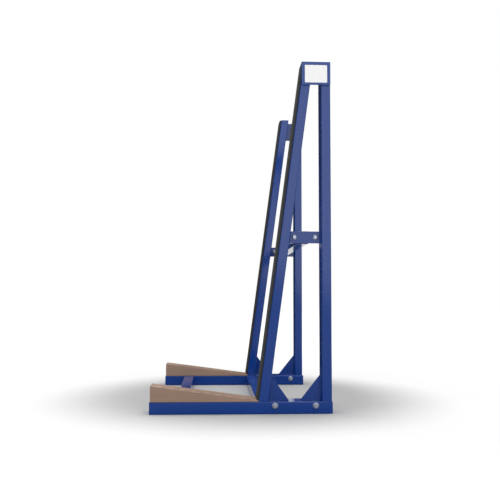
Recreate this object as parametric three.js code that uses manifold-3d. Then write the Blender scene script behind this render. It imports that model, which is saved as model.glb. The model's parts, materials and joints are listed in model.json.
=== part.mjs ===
// A free-standing, one-sided rack for sheet goods, of bolted and welded steel.
// Sheets stand on two timber wedges and lean back against two sloping rails.
// Units are millimetres. +Z is up and +X runs from the toe to the rear. Y runs along the rack.
// Right and left are those of a person who stands at the toe and faces the leaning rails.
import * as THREE from 'three';
import { mergeVertices } from 'three/addons/utils/BufferGeometryUtils.js';
import Module from 'manifold-3d';

const wasm = await Module();
wasm.setup();

// Base rails, tubes laid flat on the floor, and the overall size of the rack
const RAIL_LENGTH = 744;
const RAIL_WIDTH = 100;
const RAIL_HEIGHT = 50;
const RAIL_WALL = 3;
const RAIL_CORNER = 4;
const RACK_SPAN = 1050;
const RACK_HEIGHT = 1470;

// Uprights and leaning rails, cut from one tube section
const POST_FACE = 40;
const POST_DEPTH = 80;
const POST_WALL = 3;
const POST_CORNER = 3.5;
const TOP_GAP = 32.5;

// Gussets at the feet of the posts, with tongues that drop into the base rails
const PLATE_THICKNESS = 8;
const GUSSET_BASE = 88;
const GUSSET_SPACING = 46;
const FRONT_GUSSET_HEIGHT = 102;
const REAR_GUSSET_HEIGHT = 110;
const TONGUE_LENGTH = 46;
const TONGUE_SHOULDER = 4;
const TONGUE_EDGE = 6;
const SLOT_CLEARANCE = 0.5;

// Plates that join the tops of the posts, and the label on the right one
const TOP_PLATE_HEIGHT = 99;
const TOP_PLATE_THICKNESS = 5;
const TOP_PLATE_OVERHANG = 3;
const LABEL_SIDE_MARGIN = 14;
const LABEL_TOP_MARGIN = 14.5;
const LABEL_HEIGHT = 75;
const LABEL_CORNER = 3;
const LABEL_THICKNESS = 0.5;

// Tubes that tie the two side frames together
const SPREADER_SIZE = 50;
const SPREADER_WALL = 3;
const SPREADER_CORNER = 3.5;
const END_PLATE_MARGIN = 3;
const MID_BOLT_INSET = 21.5;
const FRONT_NUT_ROOM = 2.5;
const REAR_NUT_ROOM = 14.5;
const CROSS_TUBE_SETBACK = 125;

// Timber wedges, their screws, and the rubber strips on the leaning rails
const WEDGE_HEEL_HEIGHT = 6;
const WEDGE_SCREW_INSET = 110;
const SCREW_DIAMETER = 6.3;
const SCREW_HEAD_DIAMETER = 12.4;
const SCREW_SINK = 1.5;
const SCREW_REACH = 9;
const RUBBER_THICKNESS = 9;
const RUBBER_CORNER = 2;
const RUBBER_LIFT = 3;

// Steel caps in the tube ends
const CAP_FLANGE = 3;
const CAP_PLUG_DEPTH = 14;
const CAP_PLUG_WALL = 2.5;

// Flange bolts and nuts, in proportion to their threads
const BASE_BOLT = 12;
const MID_BOLT = 10;
const FLATS_RATIO = 1.5;
const FLANGE_RATIO = 2.15;
const FLANGE_THICKNESS_RATIO = 0.25;
const HEAD_RATIO = 0.85;
const NUT_RATIO = 1;
const THREAD_OVERRUN_RATIO = 0.4;
const THREAD_CHAMFER_RATIO = 0.09;
const HEX_SIDES = 6;
const SLEEVE_WALL = 3.5;
const SLEEVE_HEADROOM = 3;

// Clearances, and the least rounding of a tube's inner corners
const HOLE_CLEARANCE = 0.5;
const FIT_GAP = 0.3;
const SEAM_GAP = 0.3;
const LEAST_BORE_CORNER = 0.5;

// Facets: an arc drawn on a shape gets twice its number of curve segments
const CORNER_SEGMENTS = 2;
const ROUND_SEGMENTS = 16;
const HOLE_SEGMENTS = ROUND_SEGMENTS / 2;

// How many times longer a cutting tool is than what it goes through
const CUT_THROUGH = 2;

// Places that follow from the sizes above
const FOOT_GAP = 2 * GUSSET_BASE + GUSSET_SPACING;
const POST_LENGTH = RACK_HEIGHT - CAP_FLANGE - RAIL_HEIGHT;
const LEAN_SLOPE = (FOOT_GAP - TOP_GAP) / (RACK_HEIGHT - RAIL_HEIGHT);
const LEAN_STRETCH = Math.hypot(1, LEAN_SLOPE);
const LEAN_FACE = POST_FACE * LEAN_STRETCH;
const TOE_X = -RAIL_LENGTH / 2;
const REAR_X = RAIL_LENGTH / 2;
const UPRIGHT_FRONT_X = REAR_X - POST_FACE;
const LEAN_FOOT_REAR_X = UPRIGHT_FRONT_X - FOOT_GAP;
const LEAN_FOOT_FRONT_X = LEAN_FOOT_REAR_X - LEAN_FACE;
const PLATE_INSET = (POST_DEPTH - PLATE_THICKNESS) / 2;
const MID_BOLT_SEAT = MID_BOLT_INSET + (FLANGE_RATIO * MID_BOLT) / 2;
const MID_BAR_LENGTH = MID_BOLT_SEAT + FRONT_NUT_ROOM + SPREADER_SIZE + REAR_NUT_ROOM + MID_BOLT_SEAT;
const MID_LEVEL = RACK_HEIGHT - (MID_BAR_LENGTH - TOP_GAP) / LEAN_SLOPE;
const SPREADER_X = UPRIGHT_FRONT_X - MID_BOLT_SEAT - REAR_NUT_ROOM - SPREADER_SIZE / 2;
const MID_BOLT_XS = {
  front: UPRIGHT_FRONT_X - MID_BAR_LENGTH + MID_BOLT_INSET,
  rear: UPRIGHT_FRONT_X - MID_BOLT_INSET,
};
const SLEEVE_DIAMETER = BASE_BOLT + 2 * HOLE_CLEARANCE + 2 * SLEEVE_WALL;
const BASE_BOLT_LEVEL = RAIL_HEIGHT - RAIL_WALL - SLEEVE_HEADROOM - SLEEVE_DIAMETER / 2;
const TONGUE_BOTTOM = BASE_BOLT_LEVEL - SLEEVE_DIAMETER / 2 - FIT_GAP - TONGUE_EDGE;

const FINISHES = {
  paint: { color: 0x24418c, roughness: 0.3, metalness: 0.0 },
  zinc: { color: 0xb4bac4, roughness: 0.35, metalness: 1.0 },
  timber: { color: 0xb89c86, roughness: 0.75, metalness: 0.0 },
  rubber: { color: 0x1c1c1d, roughness: 0.85, metalness: 0.0 },
  paper: { color: 0xf4f4f2, roughness: 0.45, metalness: 0.0 },
};

// X of the leaning rail's rear face at a height
function leanRearX(z) {
  return LEAN_FOOT_REAR_X + LEAN_SLOPE * (z - RAIL_HEIGHT);
}

// Y of a plane that lies a distance inwards from a side frame's outer face
function inwards(side, distance) {
  return side * (RACK_SPAN / 2 - distance);
}

// Traces a rectangle with round corners, centred on a point, onto a shape or a hole
function traceRoundedRectangle(path, width, height, radius, centreX = 0, centreY = 0) {
  const right = centreX + width / 2 - radius;
  const left = centreX - width / 2 + radius;
  const top = centreY + height / 2 - radius;
  const bottom = centreY - height / 2 + radius;
  const quarter = Math.PI / 2;
  path.absarc(right, bottom, radius, -quarter, 0, false);
  path.absarc(right, top, radius, 0, quarter, false);
  path.absarc(left, top, radius, quarter, 2 * quarter, false);
  path.absarc(left, bottom, radius, 2 * quarter, 3 * quarter, false);
  path.closePath();
  return path;
}

function roundedRectangle(width, height, radius) {
  return traceRoundedRectangle(new THREE.Shape(), width, height, radius);
}

function extrude(shape, depth, curveSegments = CORNER_SEGMENTS) {
  return new THREE.ExtrudeGeometry(shape, { depth, bevelEnabled: false, curveSegments });
}

// A bore's corner is rounded by what the wall leaves of the outer corner
const boreCorner = (corner, wall) => Math.max(corner - wall, LEAST_BORE_CORNER);

// A tube along +Z that starts at Z = 0, with its section stretched along X where asked
function tube(width, depth, wall, corner, length, stretch = 1) {
  const shape = roundedRectangle(width, depth, corner);
  const bore = new THREE.Path();
  traceRoundedRectangle(bore, width - 2 * wall, depth - 2 * wall, boreCorner(corner, wall));
  shape.holes.push(bore);
  return extrude(shape, length).scale(stretch, 1, 1);
}

// Turns a piece that runs along +Z so that it runs along +X, with its section's X along Y
function alongX(geometry) {
  const basis = new THREE.Matrix4();
  basis.makeBasis(new THREE.Vector3(0, 1, 0), new THREE.Vector3(0, 0, 1), new THREE.Vector3(1, 0, 0));
  return geometry.applyMatrix4(basis);
}

// Turns a piece that runs along +Z so that it runs along +Y, with its section's Y along X
function alongY(geometry) {
  const basis = new THREE.Matrix4();
  basis.makeBasis(new THREE.Vector3(0, 0, 1), new THREE.Vector3(1, 0, 0), new THREE.Vector3(0, 1, 0));
  return geometry.applyMatrix4(basis);
}

// Leans a piece back by the slope of the leaning rails and leaves its level cuts level
function lean(geometry) {
  return geometry.applyMatrix4(new THREE.Matrix4().makeShear(0, 0, 0, 0, LEAN_SLOPE, 0));
}

// A flat plate drawn in X and Z, with its thickness centred on Y = 0
function plate(shape, thickness, curveSegments = HOLE_SEGMENTS) {
  return extrude(shape, thickness, curveSegments).translate(0, 0, -thickness / 2).rotateX(Math.PI / 2);
}

// A round bar along Y, centred on Y = 0
function roundBar(diameter, length) {
  return new THREE.CylinderGeometry(diameter / 2, diameter / 2, length, ROUND_SEGMENTS);
}

function toSolid(geometry) {
  const bare = geometry.clone();
  bare.deleteAttribute('normal');
  bare.deleteAttribute('uv');
  const merged = mergeVertices(bare);
  const index = merged.index.array;
  const mesh = new wasm.Mesh({
    numProp: 3,
    vertProperties: new Float32Array(merged.attributes.position.array),
    triVerts: new Uint32Array(index),
  });
  return new wasm.Manifold(mesh);
}

function toGeometry(solid) {
  const mesh = solid.getMesh();
  const geometry = new THREE.BufferGeometry();
  geometry.setAttribute('position', new THREE.BufferAttribute(mesh.vertProperties, 3));
  geometry.setIndex(new THREE.BufferAttribute(mesh.triVerts, 1));
  return geometry;
}

function cut(geometry, tools) {
  let solid = toSolid(geometry);
  for (const tool of tools) {
    solid = solid.subtract(toSolid(tool));
  }
  return toGeometry(solid);
}

function join(geometry, others) {
  let solid = toSolid(geometry);
  for (const other of others) {
    solid = solid.add(toSolid(other));
  }
  return toGeometry(solid);
}

const rack = new THREE.Group();
rack.name = 'sheet_rack';

function add(parent, name, geometry, finish, x, y, z) {
  const mesh = new THREE.Mesh(geometry, new THREE.MeshStandardMaterial(FINISHES[finish]));
  mesh.name = name;
  mesh.position.set(x, y, z);
  parent.add(mesh);
  return mesh;
}

// Bolts and nuts

const flangeDiameter = (thread) => FLANGE_RATIO * thread;

function hexBar(thread, height) {
  const cornerRadius = (FLATS_RATIO * thread) / 2 / Math.cos(Math.PI / HEX_SIDES);
  return new THREE.CylinderGeometry(cornerRadius, cornerRadius, height, HEX_SIDES);
}

// A flange bolt along +Y: its head lies below Y = 0 and its shank reaches past the nut
function flangeBolt(thread, grip) {
  const headHeight = HEAD_RATIO * thread;
  const flangeThickness = FLANGE_THICKNESS_RATIO * thread;
  const shankEnd = grip + NUT_RATIO * thread + THREAD_OVERRUN_RATIO * thread;
  const chamfer = THREAD_CHAMFER_RATIO * thread;
  const hexRadius = (FLATS_RATIO * thread) / 2;
  const profile = [
    new THREE.Vector2(0, -flangeThickness - chamfer),
    new THREE.Vector2(hexRadius, -flangeThickness - chamfer),
    new THREE.Vector2(flangeDiameter(thread) / 2, -flangeThickness / 2),
    new THREE.Vector2(flangeDiameter(thread) / 2, 0),
    new THREE.Vector2(thread / 2, 0),
    new THREE.Vector2(thread / 2, shankEnd - chamfer),
    new THREE.Vector2(thread / 2 - chamfer, shankEnd),
    new THREE.Vector2(0, shankEnd),
  ];
  const body = new THREE.LatheGeometry(profile, ROUND_SEGMENTS);
  const hexHeight = headHeight - flangeThickness / 2;
  const hex = hexBar(thread, hexHeight).translate(0, -flangeThickness / 2 - hexHeight / 2, 0);
  return join(body, [hex]);
}

// A flange nut along +Y that bears at Y = 0 and grows towards +Y
function flangeNut(thread) {
  const height = NUT_RATIO * thread;
  const flangeThickness = FLANGE_THICKNESS_RATIO * thread;
  const flange = roundBar(flangeDiameter(thread), flangeThickness).translate(0, flangeThickness / 2, 0);
  const hexHeight = height - flangeThickness / 2;
  const hex = hexBar(thread, hexHeight).translate(0, height - hexHeight / 2, 0);
  const bore = roundBar(thread + 2 * FIT_GAP, 2 * CUT_THROUGH * height);
  return cut(join(flange, [hex]), [bore]);
}

// Adds a bolt and its nut, with the head on a side frame's outer side
function addBolt(parent, name, thread, side, x, z, headInset, grip) {
  const turn = side > 0 ? Math.PI : 0;
  const headY = inwards(side, headInset);
  const bolt = add(parent, `${name}_bolt`, flangeBolt(thread, grip), 'zinc', x, headY, z);
  bolt.rotation.z = turn;
  const nutY = inwards(side, headInset + grip);
  const nut = add(parent, `${name}_nut`, flangeNut(thread), 'zinc', x, nutY, z);
  nut.rotation.z = turn;
}

// Tube end caps

// A cap whose flange starts at Z = 0 and whose hollow plug hangs below it
function endCap(width, depth, wall, corner, stretch = 1) {
  const fit = 2 * (wall + FIT_GAP);
  const plugWidth = width - fit;
  const plugDepth = depth - fit;
  const plugCorner = boreCorner(corner, wall);
  const overlap = CAP_FLANGE / 2;
  const flange = extrude(roundedRectangle(width, depth, corner), CAP_FLANGE);
  const plugLength = CAP_PLUG_DEPTH + overlap;
  const plug = tube(plugWidth, plugDepth, CAP_PLUG_WALL, plugCorner + CAP_PLUG_WALL, plugLength);
  plug.translate(0, 0, -CAP_PLUG_DEPTH);
  return join(flange, [plug]).scale(stretch, 1, 1);
}

// Gussets

const baseBoltX = (gusset) => gusset.postFoot + gusset.reach * (TONGUE_SHOULDER + TONGUE_LENGTH / 2);

// The gusset stands on a shoulder on both sides of its tongue, and its bolt goes through the tongue
function gussetShape(gusset) {
  const { height, postFoot, postSlope, reach } = gusset;
  const tip = postFoot + reach * GUSSET_BASE;
  const tongueNear = postFoot + reach * TONGUE_SHOULDER;
  const tongueFar = tongueNear + reach * TONGUE_LENGTH;
  const shape = new THREE.Shape();
  shape.moveTo(tip, RAIL_HEIGHT);
  shape.lineTo(postFoot + postSlope * height, RAIL_HEIGHT + height);
  shape.lineTo(postFoot, RAIL_HEIGHT);
  shape.lineTo(tongueNear, RAIL_HEIGHT);
  shape.lineTo(tongueNear, TONGUE_BOTTOM);
  shape.lineTo(tongueFar, TONGUE_BOTTOM);
  shape.lineTo(tongueFar, RAIL_HEIGHT);
  shape.closePath();
  const hole = new THREE.Path();
  const holeRadius = SLEEVE_DIAMETER / 2 + FIT_GAP;
  hole.absarc(baseBoltX(gusset), BASE_BOLT_LEVEL, holeRadius, 0, 2 * Math.PI, false);
  shape.holes.push(hole);
  return shape;
}

const GUSSETS = [
  {
    name: 'front',
    height: FRONT_GUSSET_HEIGHT,
    postFoot: LEAN_FOOT_REAR_X + SEAM_GAP,
    postSlope: LEAN_SLOPE,
    reach: 1,
  },
  { name: 'rear', height: REAR_GUSSET_HEIGHT, postFoot: UPRIGHT_FRONT_X, postSlope: 0, reach: -1 },
];

// Base rails

const WEDGE_HEEL_X = LEAN_FOOT_FRONT_X - SEAM_GAP;
const WEDGE_SCREW_XS = { toe: TOE_X + WEDGE_SCREW_INSET, heel: WEDGE_HEEL_X - WEDGE_SCREW_INSET };

function baseRail(side) {
  const rail = alongX(tube(RAIL_WIDTH, RAIL_HEIGHT, RAIL_WALL, RAIL_CORNER, RAIL_LENGTH));
  rail.translate(TOE_X, 0, RAIL_HEIGHT / 2);
  const tools = [];
  const tongueY = side * (RAIL_WIDTH / 2 - POST_DEPTH / 2);
  for (const gusset of GUSSETS) {
    const slot = new THREE.BoxGeometry(
      TONGUE_LENGTH + 2 * SLOT_CLEARANCE,
      PLATE_THICKNESS + 2 * SLOT_CLEARANCE,
      2 * CUT_THROUGH * RAIL_WALL,
    );
    tools.push(slot.translate(baseBoltX(gusset), tongueY, RAIL_HEIGHT));
    const boltHole = roundBar(BASE_BOLT + 2 * HOLE_CLEARANCE, CUT_THROUGH * RAIL_WIDTH);
    tools.push(boltHole.translate(baseBoltX(gusset), 0, BASE_BOLT_LEVEL));
  }
  for (const x of Object.values(WEDGE_SCREW_XS)) {
    const screwHole = roundBar(SCREW_DIAMETER + 2 * HOLE_CLEARANCE, 2 * CUT_THROUGH * RAIL_WALL);
    tools.push(screwHole.rotateX(Math.PI / 2).translate(x, 0, RAIL_HEIGHT));
  }
  return cut(rail, tools);
}

// Timber wedges and their screws

const wedgeTopZ = (x) => RAIL_HEIGHT + WEDGE_HEEL_HEIGHT + LEAN_SLOPE * (WEDGE_HEEL_X - x);

// A countersunk screw along +Z with the top of its head at Z = 0, grown by a gap all round
function countersunkScrew(length, gap, headroom) {
  const headRadius = SCREW_HEAD_DIAMETER / 2 + gap;
  const shankRadius = SCREW_DIAMETER / 2 + gap;
  const profile = [
    new THREE.Vector2(0, -length - gap),
    new THREE.Vector2(shankRadius, -length + SCREW_DIAMETER / 2),
    new THREE.Vector2(shankRadius, -(headRadius - shankRadius)),
    new THREE.Vector2(headRadius, 0),
    new THREE.Vector2(headRadius, headroom),
    new THREE.Vector2(0, headroom),
  ];
  return new THREE.LatheGeometry(profile, ROUND_SEGMENTS).rotateX(Math.PI / 2);
}

const screwLength = (x) => wedgeTopZ(x) - SCREW_SINK - RAIL_HEIGHT + RAIL_WALL + SCREW_REACH;

function timberWedge() {
  const shape = new THREE.Shape();
  shape.moveTo(TOE_X, RAIL_HEIGHT);
  shape.lineTo(WEDGE_HEEL_X, RAIL_HEIGHT);
  shape.lineTo(WEDGE_HEEL_X + LEAN_SLOPE * WEDGE_HEEL_HEIGHT, RAIL_HEIGHT + WEDGE_HEEL_HEIGHT);
  shape.lineTo(TOE_X, wedgeTopZ(TOE_X));
  shape.closePath();
  const tools = [];
  for (const x of Object.values(WEDGE_SCREW_XS)) {
    const headroom = SCREW_SINK + SCREW_HEAD_DIAMETER;
    const screwHole = countersunkScrew(screwLength(x), FIT_GAP, headroom);
    tools.push(screwHole.translate(x, 0, wedgeTopZ(x) - SCREW_SINK));
  }
  return cut(plate(shape, RAIL_WIDTH), tools);
}

// Rubber strips

function rubberStrip(bottom, top) {
  const shape = roundedRectangle(RUBBER_THICKNESS, POST_DEPTH, RUBBER_CORNER);
  return lean(extrude(shape, top - bottom).scale(LEAN_STRETCH, 1, 1));
}

// Plates between the posts

// A plate at mid height between the posts, with a margin at both ends and two bolt holes
function midPlateShape(margin) {
  const bottom = MID_LEVEL - SPREADER_SIZE / 2;
  const top = MID_LEVEL + SPREADER_SIZE / 2;
  const shape = new THREE.Shape();
  shape.moveTo(leanRearX(bottom) + SEAM_GAP + margin, bottom);
  shape.lineTo(UPRIGHT_FRONT_X - margin, bottom);
  shape.lineTo(UPRIGHT_FRONT_X - margin, top);
  shape.lineTo(leanRearX(top) + SEAM_GAP + margin, top);
  shape.closePath();
  for (const x of Object.values(MID_BOLT_XS)) {
    const hole = new THREE.Path();
    hole.absarc(x, MID_LEVEL, MID_BOLT / 2 + HOLE_CLEARANCE, 0, 2 * Math.PI, false);
    shape.holes.push(hole);
  }
  return shape;
}

const TOP_PLATE_CENTRE_Z = RACK_HEIGHT - TOP_PLATE_HEIGHT / 2;
const TOP_PLATE_FRONT_X = leanRearX(TOP_PLATE_CENTRE_Z) - LEAN_FACE - TOP_PLATE_OVERHANG;
const TOP_PLATE_WIDTH = REAR_X - TOP_PLATE_FRONT_X;
const TOP_PLATE_CENTRE_X = (REAR_X + TOP_PLATE_FRONT_X) / 2;

// One side frame: side is -1 for the right frame and +1 for the left one
function addSideFrame(word, side) {
  const frame = new THREE.Group();
  rack.add(frame);
  const railY = inwards(side, RAIL_WIDTH / 2);
  const postY = inwards(side, POST_DEPTH / 2);
  const plateY = inwards(side, PLATE_INSET + PLATE_THICKNESS / 2);
  const topPlateY = inwards(side, -TOP_PLATE_THICKNESS / 2);

  add(frame, `${word}_base_rail`, baseRail(side), 'paint', 0, railY, 0);
  const railCapSection = [RAIL_WIDTH, RAIL_HEIGHT, RAIL_WALL, RAIL_CORNER];
  const rearCap = alongX(endCap(...railCapSection));
  add(frame, `${word}_rail_rear_cap`, rearCap, 'paint', REAR_X, railY, RAIL_HEIGHT / 2);
  const frontCap = alongX(endCap(...railCapSection)).rotateZ(Math.PI);
  add(frame, `${word}_rail_front_cap`, frontCap, 'paint', TOE_X, railY, RAIL_HEIGHT / 2);

  const postTop = RAIL_HEIGHT + POST_LENGTH;
  const postSection = [POST_FACE, POST_DEPTH, POST_WALL, POST_CORNER];
  const uprightX = UPRIGHT_FRONT_X + POST_FACE / 2;
  add(frame, `${word}_upright`, tube(...postSection, POST_LENGTH), 'paint', uprightX, postY, RAIL_HEIGHT);
  add(frame, `${word}_upright_cap`, endCap(...postSection), 'paint', uprightX, postY, postTop);

  const leanX = LEAN_FOOT_REAR_X - LEAN_FACE / 2;
  const leaningRail = lean(tube(...postSection, POST_LENGTH, LEAN_STRETCH));
  add(frame, `${word}_leaning_rail`, leaningRail, 'paint', leanX, postY, RAIL_HEIGHT);
  const leaningCap = lean(endCap(...postSection, LEAN_STRETCH));
  const leanTopX = leanX + LEAN_SLOPE * POST_LENGTH;
  add(frame, `${word}_leaning_rail_cap`, leaningCap, 'paint', leanTopX, postY, postTop);

  const stripThickness = RUBBER_THICKNESS * LEAN_STRETCH;
  const stripBottom = wedgeTopZ(LEAN_FOOT_FRONT_X - SEAM_GAP - stripThickness) + RUBBER_LIFT;
  const stripX = leanRearX(stripBottom) - LEAN_FACE - SEAM_GAP - stripThickness / 2;
  const strip = rubberStrip(stripBottom, postTop);
  add(frame, `${word}_rubber_strip`, strip, 'rubber', stripX, postY, stripBottom);

  add(frame, `${word}_timber_wedge`, timberWedge(), 'timber', 0, railY, 0);
  for (const [place, x] of Object.entries(WEDGE_SCREW_XS)) {
    const screw = countersunkScrew(screwLength(x), 0, 0);
    add(frame, `${word}_wedge_${place}_screw`, screw, 'zinc', x, railY, wedgeTopZ(x) - SCREW_SINK);
  }

  const topPlateShape = new THREE.Shape();
  topPlateShape.moveTo(-TOP_PLATE_WIDTH / 2, -TOP_PLATE_HEIGHT / 2);
  topPlateShape.lineTo(TOP_PLATE_WIDTH / 2, -TOP_PLATE_HEIGHT / 2);
  topPlateShape.lineTo(TOP_PLATE_WIDTH / 2, TOP_PLATE_HEIGHT / 2);
  topPlateShape.lineTo(-TOP_PLATE_WIDTH / 2, TOP_PLATE_HEIGHT / 2);
  topPlateShape.closePath();
  const topPlate = plate(topPlateShape, TOP_PLATE_THICKNESS);
  add(frame, `${word}_top_plate`, topPlate, 'paint', TOP_PLATE_CENTRE_X, topPlateY, TOP_PLATE_CENTRE_Z);

  for (const gusset of GUSSETS) {
    const gussetPlate = plate(gussetShape(gusset), PLATE_THICKNESS);
    add(frame, `${word}_${gusset.name}_gusset`, gussetPlate, 'paint', 0, plateY, 0);
    const boltX = baseBoltX(gusset);
    addBolt(frame, `${word}_${gusset.name}_base`, BASE_BOLT, side, boltX, BASE_BOLT_LEVEL, 0, RAIL_WIDTH);
    const sleeveLength = RAIL_WIDTH - 2 * RAIL_WALL - 2 * FIT_GAP;
    const sleeveBore = roundBar(BASE_BOLT + 2 * HOLE_CLEARANCE, CUT_THROUGH * sleeveLength);
    const sleeve = cut(roundBar(SLEEVE_DIAMETER, sleeveLength), [sleeveBore]);
    add(frame, `${word}_${gusset.name}_spacer_sleeve`, sleeve, 'zinc', boltX, railY, BASE_BOLT_LEVEL);
  }

  add(frame, `${word}_middle_plate`, plate(midPlateShape(0), PLATE_THICKNESS), 'paint', 0, plateY, 0);
  const endPlateY = inwards(side, PLATE_INSET + PLATE_THICKNESS + PLATE_THICKNESS / 2);
  const endPlate = plate(midPlateShape(END_PLATE_MARGIN), PLATE_THICKNESS);
  add(frame, `${word}_spreader_end_plate`, endPlate, 'paint', 0, endPlateY, 0);
  for (const [place, x] of Object.entries(MID_BOLT_XS)) {
    const grip = 2 * PLATE_THICKNESS;
    addBolt(frame, `${word}_${place}_middle`, MID_BOLT, side, x, MID_LEVEL, PLATE_INSET, grip);
  }
}

addSideFrame('right', -1);
addSideFrame('left', 1);

// Tubes between the side frames

const SPREADER_LENGTH = RACK_SPAN - 2 * (PLATE_INSET + 2 * PLATE_THICKNESS);
const CROSS_TUBE_LENGTH = RACK_SPAN - 2 * RAIL_WIDTH;

function addLengthwiseTube(name, length, x, z) {
  const bar = tube(SPREADER_SIZE, SPREADER_SIZE, SPREADER_WALL, SPREADER_CORNER, length);
  add(rack, name, alongY(bar.translate(0, 0, -length / 2)), 'paint', x, 0, z);
}

addLengthwiseTube('middle_spreader', SPREADER_LENGTH, SPREADER_X, MID_LEVEL);
addLengthwiseTube('front_cross_tube', CROSS_TUBE_LENGTH, TOE_X + CROSS_TUBE_SETBACK, SPREADER_SIZE / 2);
const REAR_CROSS_TUBE_X = LEAN_FOOT_REAR_X - LEAN_FACE / 2;
addLengthwiseTube('rear_cross_tube', CROSS_TUBE_LENGTH, REAR_CROSS_TUBE_X, SPREADER_SIZE / 2);

// Blank label on the right top plate

const LABEL_WIDTH = TOP_PLATE_WIDTH - 2 * LABEL_SIDE_MARGIN;
const labelShape = roundedRectangle(LABEL_WIDTH, LABEL_HEIGHT, LABEL_CORNER);
const label = plate(labelShape, LABEL_THICKNESS, CORNER_SEGMENTS);
const labelY = inwards(-1, -TOP_PLATE_THICKNESS - LABEL_THICKNESS / 2);
const labelZ = RACK_HEIGHT - LABEL_TOP_MARGIN - LABEL_HEIGHT / 2;
add(rack, 'label', label, 'paper', TOP_PLATE_CENTRE_X, labelY, labelZ);

export default rack;
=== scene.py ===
# %% [markdown]
# # A rack for sheet goods, piece by piece
# The rack stands on two flat rails. Each rail carries an upright and a leaning rail, and tubes tie the
# two side frames together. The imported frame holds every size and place, so the lesson measures the frame
# and models each piece where the frame has it.

# %% Load the frame and keep its box
import json
import math

import bmesh
import bpy
from mathutils import Matrix, Vector


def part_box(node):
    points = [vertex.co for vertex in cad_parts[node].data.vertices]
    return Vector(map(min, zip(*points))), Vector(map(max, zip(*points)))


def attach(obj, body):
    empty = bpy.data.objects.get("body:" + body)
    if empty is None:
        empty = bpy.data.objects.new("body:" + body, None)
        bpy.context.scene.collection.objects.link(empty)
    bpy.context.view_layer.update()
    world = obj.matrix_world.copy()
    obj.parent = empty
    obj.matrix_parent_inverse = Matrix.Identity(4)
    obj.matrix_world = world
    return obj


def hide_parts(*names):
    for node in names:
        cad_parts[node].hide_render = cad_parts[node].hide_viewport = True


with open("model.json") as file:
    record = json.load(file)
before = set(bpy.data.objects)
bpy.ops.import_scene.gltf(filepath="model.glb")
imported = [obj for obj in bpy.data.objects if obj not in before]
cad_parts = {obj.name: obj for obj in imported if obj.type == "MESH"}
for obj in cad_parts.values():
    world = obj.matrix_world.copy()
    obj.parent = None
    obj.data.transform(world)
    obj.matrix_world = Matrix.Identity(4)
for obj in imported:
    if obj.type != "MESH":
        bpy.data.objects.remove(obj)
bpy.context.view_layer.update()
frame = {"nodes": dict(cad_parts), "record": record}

# %% [markdown]
# ## Camera
# The view is low, from beside the near side frame, turned a little towards the uprights and tilted up. A
# long lens from far off keeps the posts nearly upright. The numbers come from fitting the rack's corners.

# %% Camera
QUARTER_TURN = math.radians(90)
CAMERA_PLACE = Vector((-0.1138, -3.3873, 0.4756))
CAMERA_TURN = math.radians(2.943)
CAMERA_TILT = math.radians(3.898)
CAMERA_ROLL = math.radians(0.112)
FOCAL_LENGTH_MM = 50
SENSOR_WIDTH_MM = 36

lens = bpy.data.cameras.new("camera")
lens.lens = FOCAL_LENGTH_MM
lens.sensor_width = SENSOR_WIDTH_MM
camera = bpy.data.objects.new("camera", lens)
bpy.context.scene.collection.objects.link(camera)
camera.matrix_world = (
    Matrix.Translation(CAMERA_PLACE)
    @ Matrix.Rotation(-CAMERA_TURN, 4, "Z")
    @ Matrix.Rotation(QUARTER_TURN + CAMERA_TILT, 4, "X")
    @ Matrix.Rotation(CAMERA_ROLL, 4, "Z")
)
bpy.context.scene.camera = camera
print("camera at", [round(v, 3) for v in CAMERA_PLACE])

# %% [markdown]
# ## Shader nodes with less typing
# A material is a tree of nodes. A few small helpers keep each tree readable: they add a node, fill its
# inputs with values or with other nodes' outputs, and hand back the output that the next node needs.

# %% Helpers for shader nodes
def fill(socket, value):
    """Links another node's output to a socket, or sets the socket to a value."""
    if isinstance(value, bpy.types.NodeSocket):
        socket.id_data.links.new(value, socket)
    else:
        socket.default_value = value


def put(tree, kind, inputs=(), **options):
    """Adds a shader node, sets its options and fills its inputs."""
    made = tree.nodes.new("ShaderNode" + kind)
    for key, value in options.items():
        setattr(made, key, value)
    for key, value in dict(inputs).items():
        fill(made.inputs[key], value)
    return made


def set_inputs(node, **values):
    """Fills a node's inputs by their names, with an underscore for each space."""
    for label, value in values.items():
        fill(node.inputs[label.replace("_", " ")], value)


def own_place(tree):
    """The place of a point in the object's own coordinates."""
    return put(tree, "TexCoord").outputs["Object"]


def noise(tree, scale, detail, roughness, place=None):
    """A noise over places, which are the object's own if none are given."""
    place = place or own_place(tree)
    inputs = {"Vector": place, "Scale": scale, "Detail": detail, "Roughness": roughness}
    return put(tree, "TexNoise", inputs).outputs["Fac"]


def remap(tree, value, low=0.0, high=1.0, to_low=0.0, to_high=1.0, **options):
    """Maps a value from one range to another and stops at both ends."""
    inputs = {"Value": value, "From Min": low, "From Max": high, "To Min": to_low, "To Max": to_high}
    return put(tree, "MapRange", inputs, **options).outputs[0]


def calculate(tree, operation, *values, **options):
    """The result of a Math node."""
    return put(tree, "Math", enumerate(values), operation=operation, **options).outputs[0]


def blend_colours(tree, share, first, second):
    """Mixes two colours by a share, in the sockets that a Mix node has for colours."""
    return put(tree, "Mix", {0: share, 6: first, 7: second}, data_type="RGBA").outputs[2]


def start_group(name, inputs, outputs):
    """Starts a node group and returns its tree, what it is given and what it puts out."""
    tree = bpy.data.node_groups.new(name, "ShaderNodeTree")
    for label, kind, value in inputs:
        socket = tree.interface.new_socket(label, in_out="INPUT", socket_type="NodeSocket" + kind)
        socket.default_value = value
    for label, kind in outputs:
        tree.interface.new_socket(label, in_out="OUTPUT", socket_type="NodeSocket" + kind)
    given = tree.nodes.new("NodeGroupInput").outputs
    result = tree.nodes.new("NodeGroupOutput").inputs
    return tree, given, result


def use_group(tree, group, **values):
    """Places a node group, with values for the inputs that differ from its own."""
    made = put(tree, "Group", node_tree=group)
    set_inputs(made, **values)
    return made.outputs


print("shader helpers ready")

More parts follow.
